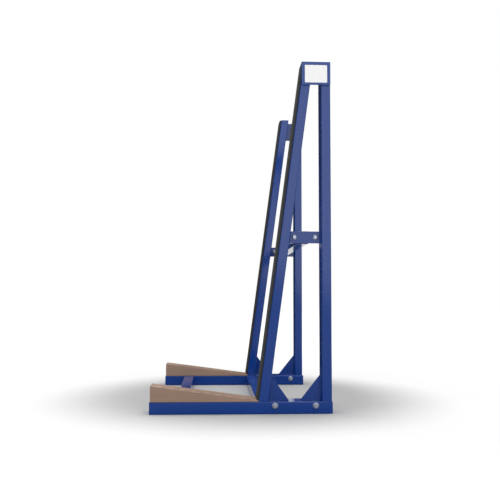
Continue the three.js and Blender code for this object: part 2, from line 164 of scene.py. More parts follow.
# %% [markdown]
# ## Worn edges and painted edge highlights
# Paint, zinc and timber all show wear first on their edges. On the blue enamel the same mask also paints a
# highlight along the edges. Pointiness could find the edges, but it needs a dense mesh. The Bevel node
# rounds the normal near an edge whatever the mesh is, so where the rounded normal leaves the true one
# there is an edge, and a noise breaks the line up.

# %% Node group: worn edges and painted edge highlights
edge_wear_and_highlight, given, result = start_group(
    "edge_wear_and_highlight",
    [("Radius", "Float", 0.002), ("Break up", "Float", 90.0), ("Amount", "Float", 0.5)],
    [("Mask", "Float")],
)
rounded = put(edge_wear_and_highlight, "Bevel", {"Radius": given["Radius"]}, samples=6).outputs["Normal"]
normal = put(edge_wear_and_highlight, "NewGeometry").outputs["Normal"]
likeness = put(edge_wear_and_highlight, "VectorMath", {0: rounded, 1: normal}, operation="DOT_PRODUCT")
edge = remap(edge_wear_and_highlight, likeness.outputs["Value"], low=0.985, high=0.86)
speckle = noise(edge_wear_and_highlight, given["Break up"], detail=4.0, roughness=0.6)
patches = remap(edge_wear_and_highlight, speckle, low=0.4, high=0.62)
along = calculate(edge_wear_and_highlight, "MULTIPLY", edge, patches)
mask = calculate(edge_wear_and_highlight, "MULTIPLY", along, given["Amount"], use_clamp=True)
fill(result["Mask"], mask)
print("group", edge_wear_and_highlight.name, len(edge_wear_and_highlight.nodes), "nodes")

# %% [markdown]
# ## Settled dust
# A rack in a workshop gathers dust on whatever faces up. The Z of the normal tells which faces those are,
# and a noise keeps the film from looking sprayed on.

# %% Node group: settled dust
settled_dust, given, result = start_group(
    "settled_dust",
    [("Patch size", "Float", 9.0), ("Amount", "Float", 0.3)],
    [("Mask", "Float")],
)
normal = put(settled_dust, "NewGeometry").outputs["Normal"]
upwards = put(settled_dust, "SeparateXYZ", {0: normal}).outputs["Z"]
facing_up = remap(settled_dust, upwards, low=0.55, high=0.98)
broad = noise(settled_dust, given["Patch size"], detail=5.0, roughness=0.65)
film = remap(settled_dust, broad, low=0.3, high=0.7)
lying = calculate(settled_dust, "MULTIPLY", facing_up, film)
mask = calculate(settled_dust, "MULTIPLY", lying, given["Amount"], use_clamp=True)
fill(result["Mask"], mask)
print("group", settled_dust.name, len(settled_dust.nodes), "nodes")

# %% [markdown]
# ## Uneven tone
# No sprayed, plated or moulded surface has one even colour. This group makes a colour a little lighter
# and darker in soft clouds, and puts the same clouds out as a value, so that the gloss can follow the
# tone.

# %% Node group: uneven tone
uneven_tone, given, result = start_group(
    "uneven_tone",
    [("Colour", "Color", (0.5, 0.5, 0.5, 1.0)), ("Cloud size", "Float", 6.0), ("Spread", "Float", 0.1)],
    [("Colour", "Color"), ("Cloud", "Float")],
)
clouds = noise(uneven_tone, given["Cloud size"], detail=6.0, roughness=0.6)
centred = calculate(uneven_tone, "SUBTRACT", clouds, 0.5)
gain = calculate(uneven_tone, "MULTIPLY_ADD", centred, given["Spread"], 1.0)
toned = put(uneven_tone, "VectorMath", {0: given["Colour"], "Scale": gain}, operation="SCALE")
fill(result["Colour"], toned.outputs["Vector"])
fill(result["Cloud"], clouds)
print("group", uneven_tone.name, len(uneven_tone.nodes), "nodes")

# %% [markdown]
# ## Fine grit
# Sprayed enamel dries with a faint orange peel, rubber has a mould texture and zinc a crystalline one.
# One height group serves all three at different sizes. Its height goes to a Bump node in the material.

# %% Node group: fine grit
fine_grit, given, result = start_group(
    "fine_grit",
    [("Grains per metre", "Float", 300.0), ("Roughness", "Float", 0.5)],
    [("Height", "Float")],
)
grains = noise(fine_grit, given["Grains per metre"], detail=3.0, roughness=given["Roughness"])
fill(result["Height"], grains)
print("group", fine_grit.name, len(fine_grit.nodes), "nodes")

# %% [markdown]
# ## Blue enamel
# The frame is sprayed with a glossy blue enamel. A painted surface is a coloured base under a clear
# gloss, which the Principled shader gives by itself with a low roughness. Along the edges the paint turns
# a
# paler blue: thinner paint there, and also a painted highlight. Dust dulls what faces up, and the orange
# peel only shows where a reflection runs over it.

# %% Material: blue enamel
ENAMEL_BLUE = (0.0006, 0.0355, 0.22, 1.0)
THIN_AND_HIGHLIT_BLUE = (0.05, 0.12, 0.34, 1.0)
DUST_GREY = (0.30, 0.29, 0.27, 1.0)
DUST_DULLING = 1.2


def start_finish(name):
    """Starts a material and returns it with its node tree and its Principled shader."""
    finish = bpy.data.materials.new(name)
    finish.use_nodes = True
    tree = finish.node_tree
    return finish, tree, tree.nodes["Principled BSDF"]


def rough_normal(tree, height, strength, depth):
    """The normal of a surface that a height roughens."""
    inputs = {"Height": height, "Strength": strength, "Distance": depth}
    return put(tree, "Bump", inputs).outputs["Normal"]


blue_enamel, tree, shader = start_finish("blue_enamel")
tone = use_group(tree, uneven_tone, Colour=ENAMEL_BLUE, Cloud_size=3.5, Spread=0.22)
thin_and_highlit = use_group(tree, edge_wear_and_highlight, Radius=0.002, Break_up=70.0, Amount=0.6)
dust = use_group(tree, settled_dust, Patch_size=7.0, Amount=0.05)
peel = use_group(tree, fine_grit, Grains_per_metre=260.0, Roughness=0.4)
# The paler blue along the edges is thinner paint and also a painted highlight.
thinned_and_highlit = blend_colours(tree, thin_and_highlit["Mask"], tone["Colour"], THIN_AND_HIGHLIT_BLUE)
gloss = remap(tree, tone["Cloud"], to_low=0.09, to_high=0.20)
set_inputs(
    shader,
    Base_Color=blend_colours(tree, dust["Mask"], thinned_and_highlit, DUST_GREY),
    Roughness=calculate(tree, "MULTIPLY_ADD", dust["Mask"], DUST_DULLING, gloss),
    Specular_IOR_Level=0.27,
    Normal=rough_normal(tree, peel["Height"], strength=0.03, depth=0.0006),
)
print("material", blue_enamel.name)

# %% [markdown]
# ## Bright zinc
# The bolts, nuts, screws and sleeves are zinc plated. Zinc is a metal, so its colour is its reflection,
# and what makes it read as plating is a cloudy gloss and a cold tint rather than a pattern.

# %% Material: bright zinc
ZINC_GREY = (0.245, 0.272, 0.345, 1.0)
RUBBED_ZINC = (0.40, 0.41, 0.44, 1.0)

bright_zinc, tree, shader = start_finish("bright_zinc")
tone = use_group(tree, uneven_tone, Colour=ZINC_GREY, Cloud_size=160.0, Spread=0.5)
rubbed = use_group(tree, edge_wear_and_highlight, Radius=0.0008, Break_up=300.0, Amount=0.7)
crystals = use_group(tree, fine_grit, Grains_per_metre=900.0, Roughness=0.6)
set_inputs(
    shader,
    Base_Color=blend_colours(tree, rubbed["Mask"], tone["Colour"], RUBBED_ZINC),
    Roughness=remap(tree, tone["Cloud"], to_low=0.18, to_high=0.54),
    Metallic=1.0,
    Normal=rough_normal(tree, crystals["Height"], strength=0.1, depth=0.0002),
)
print("material", bright_zinc.name)

# %% [markdown]
# ## Planed softwood
# The wedges are sawn along the grain, so long streaks run from toe to heel, and the toe shows end grain.
# A solid texture gives both at once: rings around a pith line that lies along X, below and beside the
# wedge. Each wedge has its own pith, so that the two don't match.

# %% Material: planed softwood
EARLY_WOOD = (0.325, 0.213, 0.153, 1.0)
LATE_WOOD = (0.195, 0.118, 0.08, 1.0)
FIBRE_SHADE = (0.17, 0.105, 0.07, 1.0)
SOILED_WOOD = (0.13, 0.10, 0.08, 1.0)
RING_STRETCH = (0.35, 1, 1)
FIBRE_STRETCH = (9, 420, 420)
RING_RELIEF = 0.6
PITHS = {"right": (-0.505, 0.005), "left": (0.455, -0.012)}


def planed_softwood(name, pith):
    """A softwood whose rings run around a line along X through the pith's Y and Z."""
    finish, tree, shader = start_finish(name)
    place = own_place(tree)
    to_origin = (0, -pith[0], -pith[1])
    from_pith = put(tree, "Mapping", {"Vector": place, "Location": to_origin, "Scale": RING_STRETCH})
    waves = {"Vector": from_pith.outputs[0], "Scale": 48.0, "Distortion": 3.2}
    waves |= {"Detail": 3.0, "Detail Scale": 0.35, "Detail Roughness": 0.55}
    rings = put(tree, "TexWave", waves, wave_type="RINGS", rings_direction="X", wave_profile="SAW")
    streaked = put(tree, "Mapping", {"Vector": place, "Scale": FIBRE_STRETCH})
    fibres = noise(tree, scale=1.0, detail=5.0, roughness=0.6, place=streaked.outputs[0])
    fibre_share = remap(tree, fibres, low=0.46, high=0.72, to_high=0.5)
    ring_share = remap(tree, rings.outputs["Fac"], low=0.25, to_high=0.8)
    timber = blend_colours(tree, ring_share, EARLY_WOOD, LATE_WOOD)
    timber = blend_colours(tree, fibre_share, timber, FIBRE_SHADE)
    tone = use_group(tree, uneven_tone, Colour=timber, Cloud_size=7.0, Spread=0.35)
    soil = use_group(tree, edge_wear_and_highlight, Radius=0.003, Break_up=60.0, Amount=0.45)
    relief = calculate(tree, "MULTIPLY_ADD", ring_share, RING_RELIEF, fibres)
    set_inputs(
        shader,
        Base_Color=blend_colours(tree, soil["Mask"], tone["Colour"], SOILED_WOOD),
        Roughness=remap(tree, fibres, to_low=0.42, to_high=0.62),
        Normal=rough_normal(tree, relief, strength=0.25, depth=0.0008),
    )
    return finish


softwood = {side: planed_softwood(f"planed_softwood_{side}", pith) for side, pith in PITHS.items()}
print("materials", [finish.name for finish in softwood.values()])

# %% [markdown]
# ## Black rubber and white film
# The strips are plain black rubber: dark, dull and a little dusty. The blank label is a white film with a
# soft gloss, kept just below pure white so that it doesn't glare.

# %% Materials: black rubber and white film
RUBBER_BLACK = (0.016, 0.016, 0.017, 1.0)
CHALKY_BLACK = (0.085, 0.083, 0.08, 1.0)
FILM_WHITE = (0.93, 0.93, 0.935, 1.0)
FILM_EDGE = (0.70, 0.70, 0.69, 1.0)

black_rubber, tree, shader = start_finish("black_rubber")
tone = use_group(tree, uneven_tone, Colour=RUBBER_BLACK, Cloud_size=14.0, Spread=0.5)
chalk = use_group(tree, edge_wear_and_highlight, Radius=0.0015, Break_up=30.0, Amount=0.35)
dust = use_group(tree, settled_dust, Patch_size=12.0, Amount=0.25)
grit = use_group(tree, fine_grit, Grains_per_metre=700.0, Roughness=0.7)
chalked = blend_colours(tree, chalk["Mask"], tone["Colour"], CHALKY_BLACK)
set_inputs(
    shader,
    Base_Color=blend_colours(tree, dust["Mask"], chalked, DUST_GREY),
    Roughness=remap(tree, tone["Cloud"], to_low=0.58, to_high=0.82),
    Specular_IOR_Level=0.35,
    Normal=rough_normal(tree, grit["Height"], strength=0.3, depth=0.0004),
)

white_film, tree, shader = start_finish("white_film")
tone = use_group(tree, uneven_tone, Colour=FILM_WHITE, Cloud_size=30.0, Spread=0.06)
rim = use_group(tree, edge_wear_and_highlight, Radius=0.0007, Break_up=200.0, Amount=0.6)
ripple = use_group(tree, fine_grit, Grains_per_metre=60.0, Roughness=0.3)
set_inputs(
    shader,
    Base_Color=blend_colours(tree, rim["Mask"], tone["Colour"], FILM_EDGE),
    Roughness=remap(tree, tone["Cloud"], to_low=0.3, to_high=0.4),
    Specular_IOR_Level=0.3,
    Normal=rough_normal(tree, ripple["Height"], strength=0.04, depth=0.0006),
)
print("materials", black_rubber.name, white_film.name)

# %% [markdown]
# ## Working on one piece at a time
# An operator acts on all that is selected, and the frame comes in selected. So each piece starts from a
# clean selection, and edges and faces are picked in code by their place and direction.

# %% Helpers for picking and shaping
NEARLY_ONE = 0.99


def focus(piece):
    """Leaves edit mode and makes a piece the only selected object."""
    if bpy.context.object and bpy.context.object.mode != "OBJECT":
        bpy.ops.object.mode_set(mode="OBJECT")
    bpy.ops.object.select_all(action="DESELECT")
    if piece:
        piece.select_set(True)
        bpy.context.view_layer.objects.active = piece


def settle(piece):
    """Puts a piece's place, turn and scale into its mesh."""
    focus(piece)
    bpy.ops.object.transform_apply(location=True, rotation=True, scale=True)


def take_up(name):
    """Names the primitive that was just added and settles it."""
    piece = bpy.context.object
    piece.name = name
    settle(piece)
    return piece


def add_block(name, low, high):
    """A block between two corners."""
    focus(None)
    low, high = Vector(low), Vector(high)
    bpy.ops.mesh.primitive_cube_add(size=1, location=(low + high) / 2)
    bpy.context.object.scale = high - low
    return take_up(name)


def open_up(piece, kind, action):
    """Opens a piece in edit mode with all or nothing of it selected."""
    focus(piece)
    bpy.ops.object.mode_set(mode="EDIT")
    bpy.ops.mesh.select_mode(type=kind)
    bpy.ops.mesh.select_all(action=action)


def pick(piece, kind, test):
    """Selects only the edges or faces that pass a test of their centre and direction, in edit mode."""
    open_up(piece, kind, "DESELECT")
    mesh = bmesh.from_edit_mesh(piece.data)
    mesh.normal_update()
    if kind == "EDGE":
        for edge in mesh.edges:
            start, end = (corner.co for corner in edge.verts)
            edge.select_set(test((start + end) / 2, (end - start).normalized()))
    else:
        for face in mesh.faces:
            face.select_set(test(face.calc_center_median(), face.normal))
    bmesh.update_edit_mesh(piece.data)


def pick_facing(piece, way, where=lambda centre: True):
    """Selects only the faces that look one way and lie where a test allows, in edit mode."""
    pick(piece, "FACE", lambda centre, normal: normal.dot(way) > NEARLY_ONE and where(centre))


def pick_all(piece):
    """Selects all of a piece in edit mode."""
    open_up(piece, "VERT", "SELECT")


def draw_out(way):
    """Extrudes what is selected along a way."""
    bpy.ops.mesh.extrude_region_move(TRANSFORM_OT_translate={"value": way})


def face_outwards(piece):
    """Turns all faces of a piece outwards."""
    pick_all(piece)
    bpy.ops.mesh.normals_make_consistent(inside=False)
    focus(piece)


def close_ends(piece):
    """Closes the open ends of a piece."""
    open_up(piece, "EDGE", "DESELECT")
    bpy.ops.mesh.select_non_manifold(extend=False)
    bpy.ops.mesh.edge_face_add()
    face_outwards(piece)


print("shaping helpers ready")

# %% [markdown]
# ## Cutting and rounding
# Holes and joins are Booleans, ends are sawn with a bisect, and edges are rounded by a Bevel that takes
# only sharp ones. Every modifier is applied as soon as it is set, so that the next step works on the
# real mesh.

# %% Helpers for cutting and rounding
SAW_FINENESS = 0.000005


def use_modifier(piece, kind, **options):
    """Adds a modifier, sets it and applies it."""
    focus(piece)
    bpy.ops.object.modifier_add(type=kind)
    modifier = piece.modifiers[-1]
    for key, value in options.items():
        setattr(modifier, key, value)
    bpy.ops.object.modifier_apply(modifier=modifier.name)


def combine(piece, other, operation):
    """Joins another object to a piece, cuts it out or keeps what they share, and closes the seam."""
    use_modifier(piece, "BOOLEAN", object=other, operation=operation, solver="EXACT")
    bpy.data.objects.remove(other)
    pick_all(piece)
    bpy.ops.mesh.remove_doubles(threshold=SAW_FINENESS)
    focus(piece)


def score(piece, point, normal, **options):
    """Cuts edges into a piece along a plane."""
    pick_all(piece)
    bpy.ops.mesh.bisect(plane_co=point, plane_no=normal, threshold=SAW_FINENESS, **options)
    focus(piece)


def saw(piece, point, normal):
    """Cuts off what lies beyond a plane, on the side that its normal points to, and closes the cut."""
    score(piece, point, normal, use_fill=True, clear_outer=True)


def soften(piece, width, segments=3, angle=40):
    """Rounds every edge that is sharper than an angle."""
    limit = math.radians(angle)
    use_modifier(piece, "BEVEL", width=width, segments=segments, limit_method="ANGLE", angle_limit=limit)


print("cutting helpers ready")

# %% [markdown]
# ## Dressing a piece and making its twin
# A finished piece is shaded smooth up to an angle. Weighted normals keep its broad faces flat beside
# rounded edges. Then it gets its finish, rides on the rack's one body and stands for its node of the
# frame. The left side frame mirrors the right one, so its pieces are mirrored copies, each with its own
# mesh.

# %% Helpers for finishing
SMOOTH_ANGLE = math.radians(35)
PAINT = (blue_enamel, "frame_paint")
ZINC = (bright_zinc, "fastener_zinc")
TIMBER = (softwood, "wedge_timber")
RUBBER = (black_rubber, "strip_rubber")
FILM = (white_film, "label_film")


def dress(piece, finish, slot, node=None):
    """Smooths a piece, gives it its finish and lets it stand for a node of the frame, if it has one."""
    focus(piece)
    bpy.ops.object.shade_smooth_by_angle(angle=SMOOTH_ANGLE)
    use_modifier(piece, "WEIGHTED_NORMAL", keep_sharp=True)
    piece.data.materials.clear()
    piece.data.materials.append(finish)
    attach(piece, "root")
    if node:
        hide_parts(node)
    size = [round(1000 * v) for v in piece.dimensions]
    print(piece.name, size, "mm,", len(piece.data.polygons), "faces")


def copy_of(piece, name):
    """A copy with its own mesh."""
    twin = piece.copy()
    twin.data = piece.data.copy()
    twin.name = name
    bpy.context.scene.collection.objects.link(twin)
    return twin


def mirrored(piece, name):
    """A copy on the other side of the rack's middle."""
    twin = copy_of(piece, name)
    twin.scale.y = -1
    settle(twin)
    face_outwards(twin)
    return twin


def dress_pair(piece, stem, finish, slot, in_frame=True):
    """Dresses a right-hand piece and its left-hand twin, which stand for the nodes of their names."""
    twin = mirrored(piece, f"left_{stem}_finished")
    piece.name = f"right_{stem}_finished"
    for side, made in (("right", piece), ("left", twin)):
        material = finish[side] if isinstance(finish, dict) else finish
        dress(made, material, slot, f"{side}_{stem}" if in_frame else None)


print("finishing helpers ready")

# %% [markdown]
# ## Tubes with round corners
# Rectangular tube is rolled from strip, so its corners are round outside and inside. A bar with its four
# long edges bevelled and its ends taken off gives the outer skin, and Solidify gives it the wall,
# inwards.

# %% Tube maker and lengthwise tubes
TUBE_WALL = 0.003
SPREADER_CORNER = 0.0035
CORNER_STEPS = 6
ALONG_X, ALONG_Y, ALONG_Z = range(3)
TIES = ("middle_spreader", "front_cross_tube", "rear_cross_tube")


def round_bar(name, low, high, axis, corner):
    """A bar with round corners along an axis, between two points."""
    bar = add_block(name, low, high)
    pick(bar, "EDGE", lambda centre, direction: abs(direction[axis]) > NEARLY_ONE)
    bpy.ops.mesh.bevel(offset=corner, segments=CORNER_STEPS, affect="EDGES")
    focus(bar)
    return bar


def add_tube(name, low, high, axis, corner):
    """An open tube with round corners along an axis, between two points."""
    tube = round_bar(name, low, high, axis, corner)
    pick(tube, "FACE", lambda centre, normal: abs(normal[axis]) > NEARLY_ONE)
    bpy.ops.mesh.delete(type="FACE")
    use_modifier(tube, "SOLIDIFY", thickness=TUBE_WALL, offset=-1, use_even_offset=True)
    return tube


for node in TIES:
    tie = add_tube(f"{node}_finished", *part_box(node), ALONG_Y, SPREADER_CORNER)
    dress(tie, *PAINT, node)

# %% [markdown]
# ## Drilling
# Bolts, screws and the gussets' tongues go through the tubes and plates. A drill is a cylinder that is
# cut out of the piece with a Boolean. The holes are placed on the axes of the frame's own bolts and
# screws.

# %% Helpers for drilling
DRILL_SIDES = 32
DRILL_REACH = 0.2
TURN_TO_Y = (QUARTER_TURN, 0, 0)
NO_TURN = (0, 0, 0)


def middle_of(node):
    """The middle of a node's box."""
    low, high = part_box(node)
    return (low + high) / 2


def drill(piece, centre, diameter, length, turn=TURN_TO_Y):
    """Cuts a round hole through a piece."""
    focus(None)
    bpy.ops.mesh.primitive_cylinder_add(
        vertices=DRILL_SIDES, radius=diameter / 2, depth=length, location=centre, rotation=turn
    )
    combine(piece, take_up("drill"), "DIFFERENCE")


print("drilling helpers ready")

# %% [markdown]
# ## Base rails
# Each base rail is a tube laid flat. It has two bolt holes right through, two slots in its top wall for
# the gussets' tongues and two holes for the wedge's screws. The left rail is the mirrored copy.

# %% Base rails
RAIL_CORNER = 0.004
BASE_BOLT = 0.012
HOLE_CLEARANCE = 0.0005
SLOT_CLEARANCE = 0.0005
SCREW_DIAMETER = 0.0063
TONGUE_LENGTH = 0.046
ENDS = ("front", "rear")
SCREW_TURNS = {"toe": math.radians(28), "heel": math.radians(67)}

rail_low, rail_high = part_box("right_base_rail")
rail = add_tube("base_rail", rail_low, rail_high, ALONG_X, RAIL_CORNER)
plate_low, plate_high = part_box("right_rear_gusset")
for end in ENDS:
    bolt_axis = middle_of(f"right_{end}_base_bolt")
    drill(rail, bolt_axis, BASE_BOLT + 2 * HOLE_CLEARANCE, 2 * DRILL_REACH)
    half = TONGUE_LENGTH / 2 + SLOT_CLEARANCE
    slot = add_block(
        "slot",
        (bolt_axis.x - half, plate_low.y - SLOT_CLEARANCE, rail_high.z - 2 * TUBE_WALL),
        (bolt_axis.x + half, plate_high.y + SLOT_CLEARANCE, rail_high.z + TUBE_WALL),
    )
    combine(rail, slot, "DIFFERENCE")
for spot in SCREW_TURNS:
    axis = middle_of(f"right_wedge_{spot}_screw")
    centre = (axis.x, axis.y, rail_high.z)
    drill(rail, centre, SCREW_DIAMETER + 2 * HOLE_CLEARANCE, 4 * TUBE_WALL, NO_TURN)
dress_pair(rail, "base_rail", *PAINT)

# %% [markdown]
# ## Uprights and leaning rails
# Both posts are cut from one tube. The leaning rail starts as an upright tube that is too long, is tilted
# about its foot, and is then sawn level at both ends, as a fabricator would do it. The tilt is taken from
# the frame's record, which states the direction that the leaning face looks in.

# %% Uprights and leaning rails
POST_CORNER = 0.0035
SPARE_LENGTH = 0.05
UP, DOWN, FORWARD = Vector((0, 0, 1)), Vector((0, 0, -1)), Vector((-1, 0, 0))

mounts = {mount["name"]: mount for mount in frame["record"]["mounts"]}
leaning_face = Vector(mounts["right_sheet_back"]["axis"]).normalized()
LEAN_ANGLE = math.atan2(leaning_face.z, -leaning_face.x)
LEAN_SLOPE = math.tan(LEAN_ANGLE)
LEAN_STRETCH = 1 / math.cos(LEAN_ANGLE)
lean_axis = Vector((math.sin(LEAN_ANGLE), 0, math.cos(LEAN_ANGLE)))

post_low, post_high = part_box("right_upright")
POST_FACE = post_high.x - post_low.x
upright = add_tube("upright", post_low, post_high, ALONG_Z, POST_CORNER)
dress_pair(upright, "upright", *PAINT)


def lean_back(piece, foot):
    """Tilts a piece that stands at the origin and moves it to its foot."""
    piece.rotation_euler.y = LEAN_ANGLE
    piece.location = foot
    settle(piece)


def cut_level(piece, bottom, top):
    """Saws a leaning piece level at two heights."""
    saw(piece, UP * top, UP)
    saw(piece, UP * bottom, DOWN)


def lean_blank(make, low, high, thickness, corner):
    """A tube or bar that stands at the origin, longer than it has to be once it leans."""
    reach = (high.z - low.z) * LEAN_STRETCH + SPARE_LENGTH
    start, end = (-thickness / 2, low.y, -SPARE_LENGTH), (thickness / 2, high.y, reach)
    return make("lean_blank", start, end, ALONG_Z, corner)


lean_low, lean_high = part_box("right_leaning_rail")
lean_foot = Vector((lean_low.x + POST_FACE * LEAN_STRETCH / 2, 0, lean_low.z))
leaning_rail = lean_blank(add_tube, lean_low, lean_high, POST_FACE, POST_CORNER)
lean_back(leaning_rail, lean_foot)
cut_level(leaning_rail, lean_low.z, lean_high.z)
dress_pair(leaning_rail, "leaning_rail", *PAINT)
print("lean", round(math.degrees(LEAN_ANGLE), 2), "degrees")

# %% [markdown]
# ## End caps
# Every open tube end is closed by a pressed steel cap: a flange as large as the tube with a hollow plug
# that fits inside it. The flange's outer rim is rounded, which leaves a fine seam against the tube. The
# plug is drawn out of the flange's inner face by inset and extrude, along the tube.

# %% End caps
CAP_FLANGE = 0.003
CAP_FIT = 0.0003
CAP_PLUG_DEPTH = 0.014
CAP_PLUG_WALL = 0.0025
CAP_RIM = 0.0012
SEAM_RIM = 0.0004
RIM_STEPS = 3
PLUG_CORNER = 0.0006


def round_rim(cap, outwards, level, rim):
    """Rounds the edges of a flange that lie at a level along its outward direction."""
    def on_rim(centre, direction):
        at_level = abs(centre.dot(outwards) - level) < SAW_FINENESS
        return at_level and abs(direction.dot(outwards)) < 1 - NEARLY_ONE

    pick(cap, "EDGE", on_rim)
    bpy.ops.mesh.bevel(offset=rim, segments=RIM_STEPS, affect="EDGES")
    focus(cap)


def finish_cap(cap, outwards, plug_way):
    """Rounds a flange's rims and draws a hollow plug out of its inner face."""
    face = max(vertex.co.dot(outwards) for vertex in cap.data.vertices)
    round_rim(cap, outwards, face, CAP_RIM)
    round_rim(cap, outwards, face - CAP_FLANGE, SEAM_RIM)
    pick_facing(cap, -outwards)
    bpy.ops.mesh.inset(thickness=TUBE_WALL + CAP_FIT - SEAM_RIM)
    bpy.ops.mesh.remove_doubles(threshold=PLUG_CORNER)
    draw_out(plug_way * CAP_PLUG_DEPTH)
    bpy.ops.mesh.inset(thickness=CAP_PLUG_WALL)
    draw_out(-plug_way * CAP_PLUG_DEPTH)
    focus(cap)


for end, outwards in (("front", FORWARD), ("rear", -FORWARD)):
    low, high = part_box(f"right_rail_{end}_cap")
    if outwards.x > 0:
        low.x = high.x - CAP_FLANGE
    else:
        high.x = low.x + CAP_FLANGE
    cap = round_bar("cap", low, high, ALONG_X, RAIL_CORNER)
    finish_cap(cap, outwards, -outwards)
    dress_pair(cap, f"rail_{end}_cap", *PAINT)

low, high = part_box("right_upright_cap")
low.z = high.z - CAP_FLANGE
cap = round_bar("cap", low, high, ALONG_Z, POST_CORNER)
finish_cap(cap, UP, DOWN)
dress_pair(cap, "upright_cap", *PAINT)

low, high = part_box("right_leaning_rail_cap")
cap = lean_blank(round_bar, lean_low, high, POST_FACE, POST_CORNER)
lean_back(cap, lean_foot)
cut_level(cap, high.z - CAP_FLANGE, high.z)
finish_cap(cap, UP, -lean_axis)
dress_pair(cap, "leaning_rail_cap", *PAINT)

# %% [markdown]
# ## Gussets
# A gusset is a plate between the base rail and a post. A block is sawn along the post and along the long
# edge. Two cuts across its foot mark the tongue, which is then drawn down into the rail and drilled for
# the sleeve around the bolt. Plate edges come from a shear or a torch, so they are only lightly rounded.

# %% Gussets
GUSSET_BASE = 0.088
SEAM_GAP = 0.0003
PLATE_EDGE = 0.0009
SLEEVE_CLEARANCE = 0.0006
PLATE_SIDE = Vector((0, 1, 0))

rail_top = rail_high.z
lean_rear_foot = lean_low.x + POST_FACE * LEAN_STRETCH + SEAM_GAP
for end, post_foot, along_post, reach_way in (
    ("front", lean_rear_foot, lean_axis, 1),
    ("rear", post_low.x, UP, -1),
):
    low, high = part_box(f"right_{end}_gusset")
    peak = Vector((post_foot, 0, rail_top)) + along_post * ((high.z - rail_top) / along_post.z)
    tip = Vector((post_foot + reach_way * GUSSET_BASE, 0, rail_top))
    gusset = add_block(
        "gusset",
        (low.x - SPARE_LENGTH, low.y, rail_top),
        (high.x + SPARE_LENGTH, high.y, high.z + SPARE_LENGTH),
    )
    saw(gusset, peak, -reach_way * along_post.cross(-PLATE_SIDE))
    slope = (peak - tip).normalized()
    saw(gusset, tip, reach_way * slope.cross(-PLATE_SIDE))
    sleeve_low, sleeve_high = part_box(f"right_{end}_spacer_sleeve")
    sleeve = (sleeve_low + sleeve_high) / 2
    for way in (-1, 1):
        score(gusset, (sleeve.x + way * TONGUE_LENGTH / 2, 0, rail_top), (1, 0, 0))
    pick_facing(gusset, DOWN, lambda centre: abs(centre.x - sleeve.x) < TONGUE_LENGTH / 4)
    draw_out(DOWN * (rail_top - low.z))
    drill(gusset, sleeve, sleeve_high.z - sleeve_low.z + SLEEVE_CLEARANCE, DRILL_REACH)
    soften(gusset, PLATE_EDGE)
    dress_pair(gusset, f"{end}_gusset", *PAINT)

# %% [markdown]
# ## Plates at mid height and at the top
# The middle plate fills the gap between the posts, and the spreader's end plate is bolted against it.
# Both are blocks sawn off along the leaning rail. The top plate laps over the outer sides of both posts.

# %% Plates
MID_BOLT = 0.010
TOP_PLATE_CORNER = 0.0025

for stem in ("middle_plate", "spreader_end_plate"):
    low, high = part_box(f"right_{stem}")
    bar = add_block(stem, low, high)
    saw(bar, (low.x, 0, low.z), leaning_face)
    for end in ENDS:
        drill(bar, middle_of(f"right_{end}_middle_bolt"), MID_BOLT + 2 * HOLE_CLEARANCE, DRILL_REACH)
    soften(bar, PLATE_EDGE)
    dress_pair(bar, stem, *PAINT)

top_plate = round_bar("top_plate", *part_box("right_top_plate"), ALONG_Y, TOP_PLATE_CORNER)
soften(top_plate, PLATE_EDGE)
dress_pair(top_plate, "top_plate", *PAINT)

# %% [markdown]
# ## Blank label
# The label on the right top plate is a thin film with round corners. It stays blank. Its rim is rounded
# so that a fine shadow line shows where it ends.

# %% Blank label
LABEL_CORNER = 0.003
LABEL_RIM = 0.0002

label = round_bar("label_finished", *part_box("label"), ALONG_Y, LABEL_CORNER)
soften(label, LABEL_RIM, segments=2)
dress(label, *FILM, "label")

# %% [markdown]
# ## Timber wedges
# A wedge is a length of softwood sawn at the angle of the leaning rails, so that its top is square to
# them. The screw heads sit in countersunk holes. Its corners are eased with a plane: more than a steel
# edge, but not round.

# %% Timber wedges
SCREW_HEAD = 0.0124
SCREW_FIT = 0.0003
SCREW_TIP = 0.2
WEDGE_EDGE = 0.0018


def add_cone(name, lower, upper, height, sides=DRILL_SIDES):
    """A cut cone that stands on the origin."""
    focus(None)
    bpy.ops.mesh.primitive_cone_add(
        vertices=sides, radius1=lower, radius2=upper, depth=height, location=(0, 0, height / 2)
    )
    return take_up(name)


def raise_by(piece, height):
    """Moves a piece up by a height, which may be below zero."""
    piece.location.z = height
    settle(piece)


def screw_form(name, length, gap, headroom):
    """A countersunk screw with the top of its head at the origin, grown by a gap all round."""
    head, shank = SCREW_HEAD / 2 + gap, SCREW_DIAMETER / 2 + gap
    form = add_cone(name, shank, head, head - shank)
    if headroom:
        pick_facing(form, UP)
        draw_out(UP * headroom)
    pick_facing(form, DOWN)
    draw_out(DOWN * (length - (head - shank) - SCREW_DIAMETER / 2))
    draw_out(DOWN * SCREW_DIAMETER / 2)
    bpy.ops.transform.resize(value=(SCREW_TIP, SCREW_TIP, 1))
    raise_by(form, shank - head)
    return form


def set_screw(form, low, high, turn=0):
    """Turns a screw and moves it into the box of its node."""
    form.rotation_euler.z = turn
    form.location = ((low.x + high.x) / 2, (low.y + high.y) / 2, high.z)
    settle(form)


